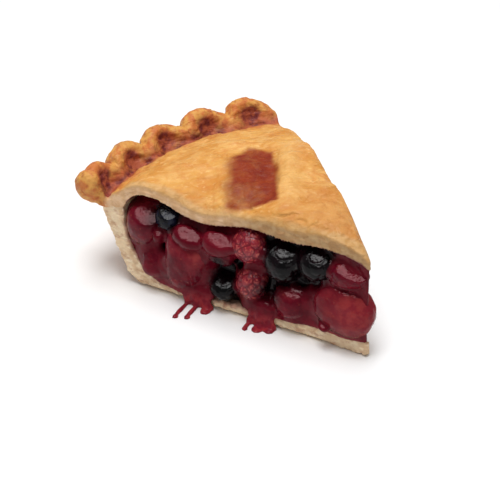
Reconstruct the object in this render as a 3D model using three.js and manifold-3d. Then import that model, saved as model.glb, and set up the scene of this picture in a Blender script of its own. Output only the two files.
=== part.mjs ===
// One slice of a two-crust mixed berry pie, an eighth of a ten-inch pie, standing on its flat base.
// Millimetres, +Z up. The slice is drawn with its tip on the Z axis and its middle line along +Y,
// and at the end it is moved so that the origin is under the middle of the whole slice.
// A place in the slice is given by r, the distance from the tip, and theta, the turn from +Y towards +X.
import * as THREE from "three";
import { mergeVertices } from "three/addons/utils/BufferGeometryUtils.js";
import Module from "manifold-3d";

const wasm = await Module();
wasm.setup();

// ---------------------------------------------------------------- driving dimensions
const SLICES_IN_A_PIE = 8;
const HALF_ANGLE = Math.PI / SLICES_IN_A_PIE;
const TIP_RADIUS = 1.5; // the knife leaves the point this blunt
const GAP = 0.35; // between pieces that touch

// Heights of the lid's upper face, [r, z], at three turns: the front cut, the middle line and the back cut.
const LID_TOP_FRONT = [
  [0, 43.6], [5, 48], [12, 50.8], [28, 52.2], [42, 51.2], [60, 47.2], [78, 45.4], [95, 48.8],
  [104, 48.2], [111, 43.6], [118, 39],
];
const LID_TOP_MIDDLE = [
  [0, 43.6], [8, 48], [22, 52.2], [45, 54], [70, 53.6], [90, 51.4], [103, 47.4], [112, 42.8], [118, 41],
];
const LID_TOP_BACK = [
  [0, 43.6], [8, 46.6], [16, 49.2], [29, 52.8], [55, 52.8], [70, 53], [84, 51], [98, 46.6], [110, 42], [118, 40],
];
const LID_THICKNESS = [[0, 4], [10, 5.6], [40, 6.4], [54, 5.2], [72, 6.4], [85, 5.6], [100, 6.2], [110, 7.4]];
// The knife drags the lid's edge down: how far, along each cut.
const EDGE_DROOP_FRONT = [[0, 1.2], [12, 2], [22, 2.6], [34, 4], [48, 1.8], [60, 0.8], [118, 0.6]];
const EDGE_DROOP_BACK = 1.2;
const DROOP_REACH = 6;

// The bottom crust's outline in the plane of a cut, [r, z].
const WALL_OUTSIDE = [[98, 0], [103.2, 1.3], [107.4, 4.6], [110.4, 9.8], [112.9, 16], [115.2, 22.4], [119, 32.2]];
const WALL_INSIDE = [[109.6, 34.6], [109.1, 29], [107.6, 23], [105.6, 17.4], [102.6, 12.2], [98.4, 7.9], [92.5, 5.2]];
const FLOOR_TOP = [[0, 4.4], [10, 4.6], [22, 6], [36, 5.6], [48, 5], [62, 4.4], [80, 3.8], [92.5, 5.2]];
const SEAM = { inner: WALL_INSIDE[0], outer: WALL_OUTSIDE.at(-1) };

// The fluted rim: the pinches between its lobes, in degrees, and its section at a pinch and at a lobe's crest.
const PINCHES = [-23.6, -15.7, -6.8, 2.7, 12.7, 21.8, 24];
const RIM_OUTER_RADIUS = { pinch: 126, crest: 130.6 };
const RIM_TOP = { pinch: 43, crest: 48.4 };
const RIM_UNDERSIDE = { pinch: 34.6, crest: 32.6 };
const RIM_HALF_WIDTH = { pinch: 4.8, crest: 5.6 };
const VALLEY_RADIUS = { pinch: 114.6, crest: 117.4 };
const VALLEY_DIP = { pinch: 0, crest: 2.2 };
const LOBE_ROUNDNESS = 0.6; // under 1 gives round lobes and narrow pinches
const LOBE_SKEW = 0.74; // under 1 leans each lobe towards the front cut
// The rim's front end is a rounded knob: its middle, [r, z], and its radii outwards, upwards and off the cut.
const KNOB = { r: 125, z: 41.2, wide: 6, high: 7, off: 4.2 };
const LOBES = PINCHES.length - 2; // the strip past the last whole lobe stays flat

// The browned hollow in the lid: middle, turn from +X, half length, half width and depth, with a ridge on its tip side.
const HOLLOW = { x: 3.6, y: 62.6, turn: THREE.MathUtils.degToRad(48.4), half: 20, width: 18, depth: 1.5 };
const RIDGE = { offset: -6, half: 15, width: 3.6, height: 1.5 };

// ---------------------------------------------------------------- the pieces' rows
// Fruit that shows at a cut: [name, s, z, radius along the cut, radius upwards, radius across, depth of its middle].
// A bramble is the black berry of that bush, made of drupelets as a raspberry is.
// s is the distance from the tip along the cut and depth is measured in from the cut.
const FRONT_FRUIT = [
  ["strawberry_1", 101, 28.6, 7.2, 9.6, 7, 4.2],
  ["strawberry_2", 94.8, 13.4, 5.8, 6.2, 6.2, 3.4],
  ["blueberry_1", 90.2, 35.4, 3.9, 4.2, 3.9, 1.6],
  ["strawberry_3", 80.4, 19, 9.2, 13.2, 8.4, 4.6],
  ["strawberry_4", 66.2, 29.4, 6.5, 7.6, 6.6, 4.2],
  ["raspberry_1", 53.2, 33.8, 6.8, 7.2, 6.8, 3.2],
  ["raspberry_2", 52.4, 16.6, 6.4, 7.8, 6.8, 3.2],
  ["bramble_1", 39, 30, 6.6, 8.2, 6.8, 3.4],
  ["bramble_2", 24.6, 34, 6.8, 7, 6.2, 3.2],
  ["bramble_3", 64.4, 10.9, 5.4, 6, 6.4, 3],
  ["strawberry_5", 34, 13.6, 7.2, 7, 6.2, 3.2],
  ["strawberry_6", 12.2, 17.6, 12.8, 11, 5.8, 2],
  ["strawberry_7", 10.4, 33.8, 6.8, 4.8, 4.2, 1.8],
];
const BACK_FRUIT = [
  ["bramble_4", 98.6, 29, 6.6, 7, 6, 3.2],
  ["strawberry_8", 94, 14.8, 7.6, 6, 6, 3.4],
  ["raspberry_3", 83.6, 35.4, 6.5, 6.8, 6, 2.8],
  ["strawberry_9", 77.4, 17.2, 7.6, 9.2, 6.6, 3.6],
  ["blueberry_2", 70.6, 29.2, 4.3, 4.3, 4.3, 2],
  ["bramble_5", 68.4, 39.4, 6.4, 5.4, 6, 2.6],
  ["raspberry_4", 62.4, 14.4, 6.2, 7.2, 6, 2.8],
  ["strawberry_10", 55.4, 28.8, 6.8, 6.4, 6, 3],
  ["blueberry_3", 53.4, 41, 4.2, 4.2, 4.2, 1.8],
  ["bramble_6", 47.6, 14.2, 6.4, 6.8, 6, 3],
  ["raspberry_5", 40.4, 33.8, 6.2, 7.4, 5.6, 2.6],
  ["strawberry_11", 32.4, 16.6, 6.6, 7, 5.4, 2.4],
  ["blueberry_4", 27, 29.4, 4.2, 4.2, 4, 1.6],
];

// Juice that runs over the bottom crust's edge: [s, half width, thickness] and the runs at its foot: [s, reach, half width].
const DRIPS = [
  { s: 75.4, half: 6.6, thick: 1.9, feet: [[79.6, 14, 1.2], [75.2, 12, 1.4], [70.8, 4, 2]] },
  { s: 46.5, half: 6, thick: 2, feet: [[51.4, 7.4, 1.2], [47, 5, 2.4], [42.4, 3.4, 2]] },
];

// The gap that the lid leaves over the fruit near the rim, at the front cut: an oval placed as the fruit is.
const LID_GAP = [98, 40.6, 10.4, 3, 4.4, 0];

const COLOURS = {
  lid: { color: 0xe3a761, roughness: 0.62 },
  bottom: { color: 0xd2b184, roughness: 0.8 },
  gel: { color: 0x5a1420, roughness: 0.12 },
  strawberry: { color: 0x8c2028, roughness: 0.2 },
  raspberry: { color: 0xa01f33, roughness: 0.25 },
  bramble: { color: 0x17101c, roughness: 0.2 },
  blueberry: { color: 0x1c1f3d, roughness: 0.3 },
};

// ---------------------------------------------------------------- small helpers
const mix = (pair, t) => pair.pinch + (pair.crest - pair.pinch) * t;
const smooth = (low, high, x) => THREE.MathUtils.smoothstep(x, low, high);

// A smooth height over a list of [r, z] points.
function heightAt(points, r) {
  const x = THREE.MathUtils.clamp(r, points[0][0], points.at(-1)[0]);
  const last = points.length - 2;
  const i = Math.min(last, points.findIndex((p, k) => k > 0 && x <= p[0]) - 1);
  const slope = (k) => {
    const a = points[Math.max(0, k - 1)];
    const b = points[Math.min(points.length - 1, k + 1)];
    return (b[1] - a[1]) / (b[0] - a[0]);
  };
  const [x0, z0] = points[i];
  const [x1, z1] = points[i + 1];
  const span = x1 - x0;
  const t = (x - x0) / span;
  const a = z0 * (1 + 2 * t) * (1 - t) ** 2 + slope(i) * span * t * (1 - t) ** 2;
  const b = z1 * t * t * (3 - 2 * t) + slope(i + 1) * span * t * t * (t - 1);
  return a + b;
}

function solidOf(geometry) {
  const bare = geometry.clone();
  bare.deleteAttribute("normal");
  bare.deleteAttribute("uv");
  const merged = mergeVertices(bare, 1e-4);
  return new wasm.Manifold(
    new wasm.Mesh({
      numProp: 3,
      vertProperties: new Float32Array(merged.attributes.position.array),
      triVerts: new Uint32Array(merged.index.array),
    }),
  );
}

function geometryOf(solid) {
  const mesh = solid.getMesh();
  const geometry = new THREE.BufferGeometry();
  geometry.setAttribute("position", new THREE.BufferAttribute(new Float32Array(mesh.vertProperties), 3));
  geometry.setIndex(new THREE.BufferAttribute(new Uint32Array(mesh.triVerts), 1));
  geometry.computeVertexNormals();
  return geometry;
}

// A closed body through rings of points: sides between neighbouring rings and a flat cap on each end ring.
// The two outlines are those rings drawn flat.
function loft(rings, firstOutline, lastOutline) {
  const count = rings[0].length;
  const positions = rings.flat().flatMap((p) => [p.x, p.y, p.z]);
  const index = [];
  for (let k = 0; k + 1 < rings.length; k++)
    for (let i = 0; i < count; i++) {
      const j = (i + 1) % count;
      const [a, b] = [k * count + i, k * count + j];
      const [c, d] = [a + count, b + count];
      index.push(a, b, d, a, d, c);
    }
  const lastRing = (rings.length - 1) * count;
  for (const [a, b, c] of THREE.ShapeUtils.triangulateShape(firstOutline, [])) index.push(a, c, b);
  for (const [a, b, c] of THREE.ShapeUtils.triangulateShape(lastOutline, []))
    index.push(lastRing + a, lastRing + b, lastRing + c);
  const geometry = new THREE.BufferGeometry();
  geometry.setAttribute("position", new THREE.Float32BufferAttribute(positions, 3));
  geometry.setIndex(index);
  return geometry;
}

const inSlice = (r, theta, z) => new THREE.Vector3(r * Math.sin(theta), r * Math.cos(theta), z);

// A section in r and z, swept round the tip from the front cut to the back cut.
function sweep(section, steps) {
  const turns = Array.from({ length: steps + 1 }, (_, k) => HALF_ANGLE * ((2 * k) / steps - 1));
  const sections = turns.map((theta) => section(theta));
  const rings = sections.map((points, k) => points.map(([r, z]) => inSlice(r, turns[k], z)));
  const flat = (points) => points.map(([r, z]) => new THREE.Vector2(r, z));
  return loft(rings, flat(sections[0]), flat(sections.at(-1)));
}

// The same number of radii for every section, closer together towards the rim.
const radii = (from, to, count) => Array.from({ length: count }, (_, i) => from + ((to - from) * i) / (count - 1));

// ---------------------------------------------------------------- the lid's form
// How far the lid's top lies above its plain dome at a place: long soft waves, the browned hollow and its ridge.
function lidRelief(x, y) {
  const waves =
    0.5 * Math.sin(x / 5.3 + 0.7) * Math.cos(y / 7.1) +
    0.35 * Math.sin((x + y) / 3.9 + 1.3) +
    0.3 * Math.cos((x - 1.6 * y) / 6.2);
  const [dx, dy] = [x - HOLLOW.x, y - HOLLOW.y];
  const along = dx * Math.cos(HOLLOW.turn) + dy * Math.sin(HOLLOW.turn);
  const across = -dx * Math.sin(HOLLOW.turn) + dy * Math.cos(HOLLOW.turn);
  const inLength = 1 - smooth(HOLLOW.half - 3, HOLLOW.half + 2, Math.abs(along));
  const inWidth = smooth(-3, 0, across) * (1 - smooth(0, HOLLOW.width, across));
  const ridge = Math.exp(-(((across - RIDGE.offset) / RIDGE.width) ** 2) - ((along - 4) / RIDGE.half) ** 2);
  return waves - HOLLOW.depth * inLength * inWidth + RIDGE.height * ridge;
}

function lidDome(r, theta) {
  const side = theta / HALF_ANGLE;
  const middle = heightAt(LID_TOP_MIDDLE, r);
  const edge = heightAt(side < 0 ? LID_TOP_FRONT : LID_TOP_BACK, r);
  const dome = THREE.MathUtils.lerp(middle, edge, side * side);
  const toCut = r * Math.sin(HALF_ANGLE - Math.abs(theta));
  const droop = side < 0 ? heightAt(EDGE_DROOP_FRONT, r) : EDGE_DROOP_BACK;
  return dome - droop * Math.max(0, 1 - toCut / DROOP_REACH) ** 2;
}

function lidTop(r, theta) {
  const fade = smooth(0, 14, r) * (1 - smooth(104, 114, r));
  return lidDome(r, theta) + fade * lidRelief(r * Math.sin(theta), r * Math.cos(theta));
}

const lidUnder = (r, theta) => lidDome(r, theta) - heightAt(LID_THICKNESS, r);

// How far a turn is into a lobe: 0 in a pinch, 1 at a crest.
function lobeAt(theta) {
  const degrees = THREE.MathUtils.radToDeg(theta);
  const i = PINCHES.findIndex((p, k) => k > 0 && degrees <= p) - 1;
  if (i >= LOBES) return 0;
  const share = (degrees - PINCHES[i]) / (PINCHES[i + 1] - PINCHES[i]);
  return Math.sin(Math.PI * share ** LOBE_SKEW) ** LOBE_ROUNDNESS;
}

// ---------------------------------------------------------------- top crust: the lid and the fluted rim
const LID_TOP_STEPS = 19;
const UNDER_RADII = radii(TIP_RADIUS, SEAM.inner[0] - 3, 13);
const RIM_STEPS = 10;
const CRUST_TURNS = 34;

function topCrustSection(theta) {
  const lobe = lobeAt(theta);
  const halfWidth = mix(RIM_HALF_WIDTH, lobe);
  const halfHeight = (mix(RIM_TOP, lobe) - mix(RIM_UNDERSIDE, lobe)) / 2;
  const middleR = mix(RIM_OUTER_RADIUS, lobe) - halfWidth;
  const middleZ = mix(RIM_UNDERSIDE, lobe) + halfHeight;
  const valleyR = mix(VALLEY_RADIUS, lobe);
  const valleyZ = lidTop(valleyR, theta) - mix(VALLEY_DIP, lobe);
  const [innerR, innerZ] = SEAM.inner;
  const [outerR, outerZ] = SEAM.outer;

  const under = UNDER_RADII.map((r) => [r, lidUnder(r, theta)]);
  const seam = [[innerR, innerZ + GAP], [outerR + 0.4, outerZ + GAP]];
  const rim = radii(-110, 160, RIM_STEPS).map((degrees) => {
    const turn = THREE.MathUtils.degToRad(degrees);
    return [middleR + halfWidth * Math.cos(turn), middleZ + halfHeight * Math.sin(turn)];
  });
  const top = radii(valleyR - 3, TIP_RADIUS, LID_TOP_STEPS).map((r) => [r, lidTop(r, theta)]);
  return [...under, ...seam, ...rim, [valleyR, valleyZ], ...top];
}

// ---------------------------------------------------------------- bottom crust: floor and wall
const FLOOR_RADII = radii(TIP_RADIUS, WALL_INSIDE.at(-1)[0] - 8, 9);
const BOTTOM_TURNS = 12;

function bottomCrustSection() {
  const floor = FLOOR_RADII.map((r) => [r, heightAt(FLOOR_TOP, r)]).reverse();
  return [[TIP_RADIUS, 0], ...WALL_OUTSIDE, ...WALL_INSIDE, ...floor];
}

// ---------------------------------------------------------------- filling: the set juice that holds the fruit
const FILLING_TURNS = 12;
const DRIP_SIDES = 10;

function fillingSection(theta) {
  const inside = WALL_INSIDE.map(([r, z]) => [r - GAP, z]).reverse();
  return [
    ...FLOOR_RADII.map((r) => [r, heightAt(FLOOR_TOP, r) + GAP]),
    ...inside.map(([r, z], i) => [r, i === 0 ? z + GAP : z]),
    ...UNDER_RADII.map((r) => [r, lidUnder(r, theta) - GAP]).reverse(),
  ];
}

// A cut's own directions: along it from the tip, and out of it.
const CUTS = {
  front: { along: inSlice(1, -HALF_ANGLE, 0), out: new THREE.Vector3(-Math.cos(HALF_ANGLE), -Math.sin(HALF_ANGLE), 0) },
  back: { along: inSlice(1, HALF_ANGLE, 0), out: new THREE.Vector3(Math.cos(HALF_ANGLE), -Math.sin(HALF_ANGLE), 0) },
};

const onCut = (cut, s, out, z) =>
  cut.along.clone().multiplyScalar(s).addScaledVector(cut.out, out).setZ(z);

// A body of oval rings laid flat, each [s, out, z, half width, half thickness], from the lowest up.
function stack(cut, levels) {
  const outline = Array.from({ length: DRIP_SIDES }, (_, i) => {
    const turn = (2 * Math.PI * i) / DRIP_SIDES;
    return new THREE.Vector2(Math.cos(turn), Math.sin(turn));
  });
  const rings = levels.map(([s, out, z, half, thick]) =>
    outline.map((p) => onCut(cut, s + half * p.x, out + thick * p.y, z)),
  );
  return solidOf(loft(rings, outline, outline));
}

function dripSolid({ s, half, thick, feet }) {
  const lip = heightAt(FLOOR_TOP, s);
  const front = GAP + thick;
  const tongue = stack(CUTS.front, [
    [s, front, 0, half * 0.8, thick],
    [s, front, lip * 0.5, half * 0.9, thick],
    [s, front, lip + 0.2, half, thick],
    [s, 0.4, lip + 2.6, half * 1.1, thick + 0.6],
    [s, -1.5, lip + 5, half * 0.7, thick],
  ]);
  return feet.reduce((body, [footS, reach, footHalf]) => {
    const middle = (GAP + reach) / 2;
    const length = (reach - GAP) / 2;
    const foot = stack(CUTS.front, [
      [footS, middle, 0, footHalf, length],
      [footS, middle, 0.8, footHalf * 0.85, length * 0.95],
      [footS, middle - length * 0.2, 1.5, footHalf * 0.5, length * 0.6],
    ]);
    return body.add(foot);
  }, tongue);
}

// ---------------------------------------------------------------- fruit
// A ball of 20 triangular faces, each split in nine: its 12 corners and 20 face middles are the drupelets of a
// raspberry or bramble, with the 60 points between them as the creases.
const BALL_SPLIT = 2;
const CREASE = 0.86;
const SOCKET_SPLIT = 1;
const SOCKET_OVER = 1.09; // a ball of few faces reaches this much less far at its flats
const CORNER_MATCH = 0.999;

const corners = () => {
  const position = new THREE.IcosahedronGeometry(1, 0).attributes.position;
  return Array.from({ length: position.count }, (_, i) => new THREE.Vector3().fromBufferAttribute(position, i));
};

function drupeletPeaks() {
  const points = corners();
  const middles = [];
  for (let i = 0; i < points.length; i += 3)
    middles.push(points[i].clone().add(points[i + 1]).add(points[i + 2]).normalize());
  return [...points, ...middles];
}

function fruitBall(kind) {
  const ball = new THREE.IcosahedronGeometry(1, BALL_SPLIT);
  if (kind !== "raspberry" && kind !== "bramble") return ball;
  const peaks = drupeletPeaks();
  const position = ball.attributes.position;
  for (let i = 0; i < position.count; i++) {
    const point = new THREE.Vector3().fromBufferAttribute(position, i);
    const isPeak = peaks.some((peak) => peak.dot(point) > CORNER_MATCH);
    point.multiplyScalar(isPeak ? 1 : CREASE);
    position.setXYZ(i, point.x, point.y, point.z);
  }
  return ball;
}

// Sets a ball's radii along the cut, upwards and across it, and its middle at s, z and a depth in from the cut.
function placed(ball, cut, [s, z, along, up, across, depth], grow) {
  const place = new THREE.Matrix4().makeBasis(cut.along, cut.out, new THREE.Vector3(0, 0, 1));
  const flip = place.determinant() < 0 ? -1 : 1;
  place.multiply(new THREE.Matrix4().makeScale(along + grow, flip * (across + grow), up + grow));
  place.setPosition(onCut(cut, s, -depth, z));
  return ball.applyMatrix4(place);
}

// ---------------------------------------------------------------- the slice
const slice = new THREE.Group();
slice.name = "berry_pie_slice";

function addPiece(name, geometry, finish) {
  const mesh = new THREE.Mesh(geometry, new THREE.MeshStandardMaterial({ ...finish, metalness: 0 }));
  mesh.name = name;
  slice.add(mesh);
}

const bottomCrust = sweep(bottomCrustSection, BOTTOM_TURNS);
const knobRow = [KNOB.r, KNOB.z, KNOB.wide, KNOB.high, KNOB.off, 0];
const knob = placed(new THREE.IcosahedronGeometry(1, BALL_SPLIT), CUTS.front, knobRow, 0);
const topCrust = geometryOf(solidOf(sweep(topCrustSection, CRUST_TURNS)).add(solidOf(knob)));
let filling = solidOf(sweep(fillingSection, FILLING_TURNS));

addPiece("bottom_crust", bottomCrust, COLOURS.bottom);
addPiece("top_crust", topCrust, COLOURS.lid);

for (const drip of DRIPS) filling = filling.add(dripSolid(drip));
filling = filling.subtract(solidOf(placed(new THREE.IcosahedronGeometry(1, BALL_SPLIT), CUTS.front, LID_GAP, 0)));

for (const [cut, rows] of [[CUTS.front, FRONT_FRUIT], [CUTS.back, BACK_FRUIT]])
  for (const [name, ...row] of rows) {
    const kind = name.split("_")[0];
    addPiece(name, placed(fruitBall(kind), cut, row, 0), COLOURS[kind]);
    const socket = placed(new THREE.IcosahedronGeometry(SOCKET_OVER, SOCKET_SPLIT), cut, row, GAP);
    filling = filling.subtract(solidOf(socket));
  }
addPiece("filling", geometryOf(filling), COLOURS.gel);

const box = new THREE.Box3().setFromObject(slice);
const middle = box.getCenter(new THREE.Vector3());
slice.position.set(-middle.x, -middle.y, -box.min.z);

export default slice;
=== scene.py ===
"""A slice of two-crust mixed berry pie: baked crusts, set juice, fruit, floor, light and camera.

Shapes are worked out in millimetres in the slice's own frame: the tip stands on the origin, the middle
line runs along +Y, r is the distance from the tip and theta the turn from +Y towards +X.
"""
import math
from types import SimpleNamespace

import bmesh
import bpy
import numpy as np
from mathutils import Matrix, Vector


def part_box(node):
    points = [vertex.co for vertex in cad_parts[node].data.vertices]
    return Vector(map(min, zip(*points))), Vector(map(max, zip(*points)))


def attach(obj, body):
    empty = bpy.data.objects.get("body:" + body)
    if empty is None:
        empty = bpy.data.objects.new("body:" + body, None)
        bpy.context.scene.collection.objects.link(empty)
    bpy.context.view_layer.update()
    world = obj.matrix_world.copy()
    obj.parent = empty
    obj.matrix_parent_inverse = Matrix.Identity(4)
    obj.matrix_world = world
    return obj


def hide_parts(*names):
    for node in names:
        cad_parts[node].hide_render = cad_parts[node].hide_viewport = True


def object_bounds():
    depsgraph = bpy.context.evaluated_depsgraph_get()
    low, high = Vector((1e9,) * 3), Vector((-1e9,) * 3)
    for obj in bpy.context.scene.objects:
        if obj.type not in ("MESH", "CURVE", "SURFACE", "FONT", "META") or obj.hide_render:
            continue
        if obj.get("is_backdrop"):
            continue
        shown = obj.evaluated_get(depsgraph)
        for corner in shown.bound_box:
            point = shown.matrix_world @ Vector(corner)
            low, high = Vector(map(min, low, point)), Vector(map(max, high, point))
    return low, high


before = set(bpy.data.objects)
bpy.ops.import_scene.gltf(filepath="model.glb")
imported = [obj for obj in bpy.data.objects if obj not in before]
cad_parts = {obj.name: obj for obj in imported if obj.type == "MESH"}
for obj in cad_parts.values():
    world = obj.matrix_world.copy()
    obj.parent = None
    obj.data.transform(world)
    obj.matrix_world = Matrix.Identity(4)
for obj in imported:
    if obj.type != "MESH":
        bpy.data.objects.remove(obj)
cad_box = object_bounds()

# ---- where the slice is
MM = 0.001
HALF_ANGLE = math.pi / 8
TIP_RADIUS = 1.5
CRUST_LOW, CRUST_HIGH = (np.array(corner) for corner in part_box("bottom_crust"))
TIP = np.array([
    (CRUST_LOW[0] + CRUST_HIGH[0]) / 2,
    CRUST_LOW[1] - TIP_RADIUS * math.cos(HALF_ANGLE) * MM,
    CRUST_LOW[2],
])

# Directions of the two cuts: along each from the tip, and out of it.
ALONG = {
    "front": np.array([-math.sin(HALF_ANGLE), math.cos(HALF_ANGLE), 0]),
    "back": np.array([math.sin(HALF_ANGLE), math.cos(HALF_ANGLE), 0]),
}
OUT = {
    "front": np.array([-math.cos(HALF_ANGLE), -math.sin(HALF_ANGLE), 0]),
    "back": np.array([math.cos(HALF_ANGLE), -math.sin(HALF_ANGLE), 0]),
}
CUTS = ("front", "back")
UP = np.array([0.0, 0.0, 1.0])

# ---- the crusts' sizes
# As in the solids. Points are the distance from the tip, then a height, a thickness or a droop.
LID_TOP_FRONT = [
    (0, 43.6), (5, 48), (12, 50.8), (28, 52.2), (42, 51.2), (60, 47.2), (78, 45.4), (95, 48.8),
    (104, 48.2), (111, 43.6), (118, 39),
]
LID_TOP_MIDDLE = [
    (0, 43.6), (8, 48), (22, 52.2), (45, 54), (70, 53.6), (90, 51.4), (103, 47.4), (112, 42.8), (118, 41),
]
LID_TOP_BACK = [
    (0, 43.6), (8, 46.6), (16, 49.2), (29, 52.8), (55, 52.8), (70, 53), (84, 51), (98, 46.6), (110, 42),
    (118, 40),
]
LID_THICKNESS = [(0, 4), (10, 5.6), (40, 6.4), (54, 5.2), (72, 6.4), (85, 5.6), (100, 6.2), (110, 7.4)]
EDGE_DROOP_FRONT = [(0, 1.2), (12, 2), (22, 2.6), (34, 4), (48, 1.8), (60, 0.8), (118, 0.6)]
EDGE_DROOP_BACK = 1.2
DROOP_REACH = 6.0

WALL_OUTSIDE = [
    (98, 0), (103.2, 1.3), (107.4, 4.6), (110.4, 9.8), (112.9, 16), (115.2, 22.4), (119, 32.2),
]
WALL_INSIDE = [
    (109.6, 34.6), (109.1, 29), (107.6, 23), (105.6, 17.4), (102.6, 12.2), (98.4, 7.9), (92.5, 5.2),
]
FLOOR_TOP = [(0, 4.4), (10, 4.6), (22, 6), (36, 5.6), (48, 5), (62, 4.4), (80, 3.8), (92.5, 5.2)]
SEAM_INNER = WALL_INSIDE[0]
SEAM_OUTER = WALL_OUTSIDE[-1]

PINCHES = [-23.6, -15.7, -6.8, 2.7, 12.7, 21.8, 24]
# The knob of dough at the rim's front end.
KNOB = {"r": 125, "z": 41.2, "wide": 6, "high": 7, "off": 4.2}
LOBES = len(PINCHES) - 2
RIM_OUTER_RADIUS = (126, 130.6)
RIM_TOP = (43, 48.4)
RIM_UNDERSIDE = (34.6, 32.6)
RIM_HALF_WIDTH = (4.8, 5.6)
VALLEY_RADIUS = (114.6, 117.4)
VALLEY_DIP = (0, 2.2)
LOBE_ROUNDNESS = 0.6
LOBE_SKEW = 0.74
# The thumb-pressed hollow in each lobe: its middle and spread as shares of the lobe, then in millimetres.
THUMB = {"share": 0.46, "spread": 0.26, "r": 119.8, "width": 2.8, "depth": 2.2}

# The browned hollow in the lid and the ridge beside it.
HOLLOW = {"x": 3.6, "y": 62.6, "turn": math.radians(48.4), "half": 20, "width": 18, "depth": 1.5}
RIDGE = {"offset": -6, "middle": 4, "half": 15, "width": 3.6, "height": 1.5}

# ---- what only the looks have
# How much thicker the bottom crust is at its tip than its solid, and how far that reaches.
TIP_RISE = 1.8
TIP_RISE_REACH = 26
# How far the bottom crust's lower edge is tucked in at a cut, and how far its nose stands out at the tip.
TUCK = 1.5
NOSE = 0.8
# How much thinner the lid is over the fruit near the rim than its solid.
THINNED = 1.4
# The way that the dough was rolled, as a turn from +X.
ROLLED = math.radians(-30)
# The lid's thin layers: how high each stands over the one below, and how far its noise rises for one more.
FLAKE_STEP = 0.42
FLAKE_RISE = 0.3
BLISTER_HEIGHT = 0.7
# The quads of the crusts' and the juice's skins, in millimetres.
QUAD = {"lid": 0.5, "base": 0.55, "gel": 0.55}

# Fruit at the cuts: name, distance from the tip, height, radius along the cut, up and across it, depth.
FRONT_FRUIT = [
    ("strawberry_1", 101, 28.6, 7.2, 9.6, 7, 4.2),
    ("strawberry_2", 94.8, 13.4, 5.8, 6.2, 6.2, 3.4),
    ("blueberry_1", 90.2, 35.4, 3.9, 4.2, 3.9, 1.6),
    ("strawberry_3", 80.4, 19, 9.2, 13.2, 8.4, 4.6),
    ("strawberry_4", 66.2, 29.4, 6.5, 7.6, 6.6, 4.2),
    ("raspberry_1", 53.2, 33.8, 6.8, 7.2, 6.8, 3.2),
    ("raspberry_2", 52.4, 16.6, 6.4, 7.8, 6.8, 3.2),
    ("bramble_1", 39, 30, 6.6, 8.2, 6.8, 3.4),
    ("bramble_2", 24.6, 34, 6.8, 7, 6.2, 3.2),
    ("bramble_3", 64.4, 10.9, 5.4, 6, 6.4, 3),
    ("strawberry_5", 34, 13.6, 7.2, 7, 6.2, 3.2),
    ("strawberry_6", 12.2, 17.6, 12.8, 11, 5.8, 2),
    ("strawberry_7", 10.4, 33.8, 6.8, 4.8, 4.2, 1.8),
]
BACK_FRUIT = [
    ("bramble_4", 98.6, 29, 6.6, 7, 6, 3.2),
    ("strawberry_8", 94, 14.8, 7.6, 6, 6, 3.4),
    ("raspberry_3", 83.6, 35.4, 6.5, 6.8, 6, 2.8),
    ("strawberry_9", 77.4, 17.2, 7.6, 9.2, 6.6, 3.6),
    ("blueberry_2", 70.6, 29.2, 4.3, 4.3, 4.3, 2),
    ("bramble_5", 68.4, 39.4, 6.4, 5.4, 6, 2.6),
    ("raspberry_4", 62.4, 14.4, 6.2, 7.2, 6, 2.8),
    ("strawberry_10", 55.4, 28.8, 6.8, 6.4, 6, 3),
    ("blueberry_3", 53.4, 41, 4.2, 4.2, 4.2, 1.8),
    ("bramble_6", 47.6, 14.2, 6.4, 6.8, 6, 3),
    ("raspberry_5", 40.4, 33.8, 6.2, 7.4, 5.6, 2.6),
    ("strawberry_11", 32.4, 16.6, 6.6, 7, 5.4, 2.4),
    ("blueberry_4", 27, 29.4, 4.2, 4.2, 4, 1.6),
]
ALL_FRUIT = [("front", row) for row in FRONT_FRUIT] + [("back", row) for row in BACK_FRUIT]

# The gap between the juice and the lid at a cut. It is high near the rim and thin elsewhere.
LID_GAP = {"s": 98, "half": 10.4, "high": 3.6, "elsewhere": 1.0}

# Juice over the bottom crust's edge, and the runs at its foot: distance from the tip, reach, half width.
DRIPS = [
    {"s": 75.4, "half": 6.6, "feet": [(79.6, 14, 1.0), (75.2, 12, 1.1), (70.8, 4, 1.8)]},
    {"s": 46.5, "half": 6, "feet": [(51.4, 7.4, 1.0), (47, 5, 2.0), (42.4, 3.4, 1.8)]},
]

# The legs under each tongue of juice: place as a share of its half width, thickness and height.
DRIP_LEGS = ((-0.55, 1.2, 0.2), (0.05, 1.7, -0.2), (0.6, 1.0, 0.5))

# The browned patch on the lid: its corners [x, y] clockwise, and how softly each edge fades.
PATCH_CORNERS = [
    (8, 83.5), (14.6, 76), (6.6, 63), (-8.4, 45), (-15.6, 49.4), (-25.5, 58.5), (-15, 70), (-2, 83),
]
PATCH_FADES = [1.8, 2.2, 2.2, 1.4, 1.8, 4, 5, 3]

BLACK_FRUIT = ("bramble", "blueberry")
# Hollows between the fruit at the front cut, sunk and painted near black as shade: distance from the tip,
# height and half width.
SHADE_POCKETS = [
    (65, 24.5, 3.6), (64, 19, 3.8), (58.6, 23.4, 2.6), (43.6, 16, 5.6), (39, 22.5, 3.4), (31, 24, 3.2),
    (26, 26, 2.6), (95, 34.6, 3), (91, 22, 1.8), (44.6, 38.5, 2.6),
]
POCKET_DEPTH = 2.6
# How far behind a cut the juice lies between black and between red fruit, and how softly it meets them.
JUICE_SUNK = {"black": 4.8, "red": 1.2}
JUICE_SUNK_TOP = 4.6
JUICE_SOFTNESS = {"black": 1.1, "red": 2.4}
JUICE_FILM = 0.2
# How far the juice swells over the floor, how far it rolls back under the lid, and its slow waves.
JUICE_SWELL = 0.4
JUICE_SWELL_RED = 1.7
JUICE_ROLL = 2.6
JUICE_WAVES = 0.35
# Places in a cut: distance from the tip by height, in cells.
CELL = 0.5
CELL_S = np.arange(-6, 116, CELL)
CELL_Z = np.arange(0, 58, CELL)
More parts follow.
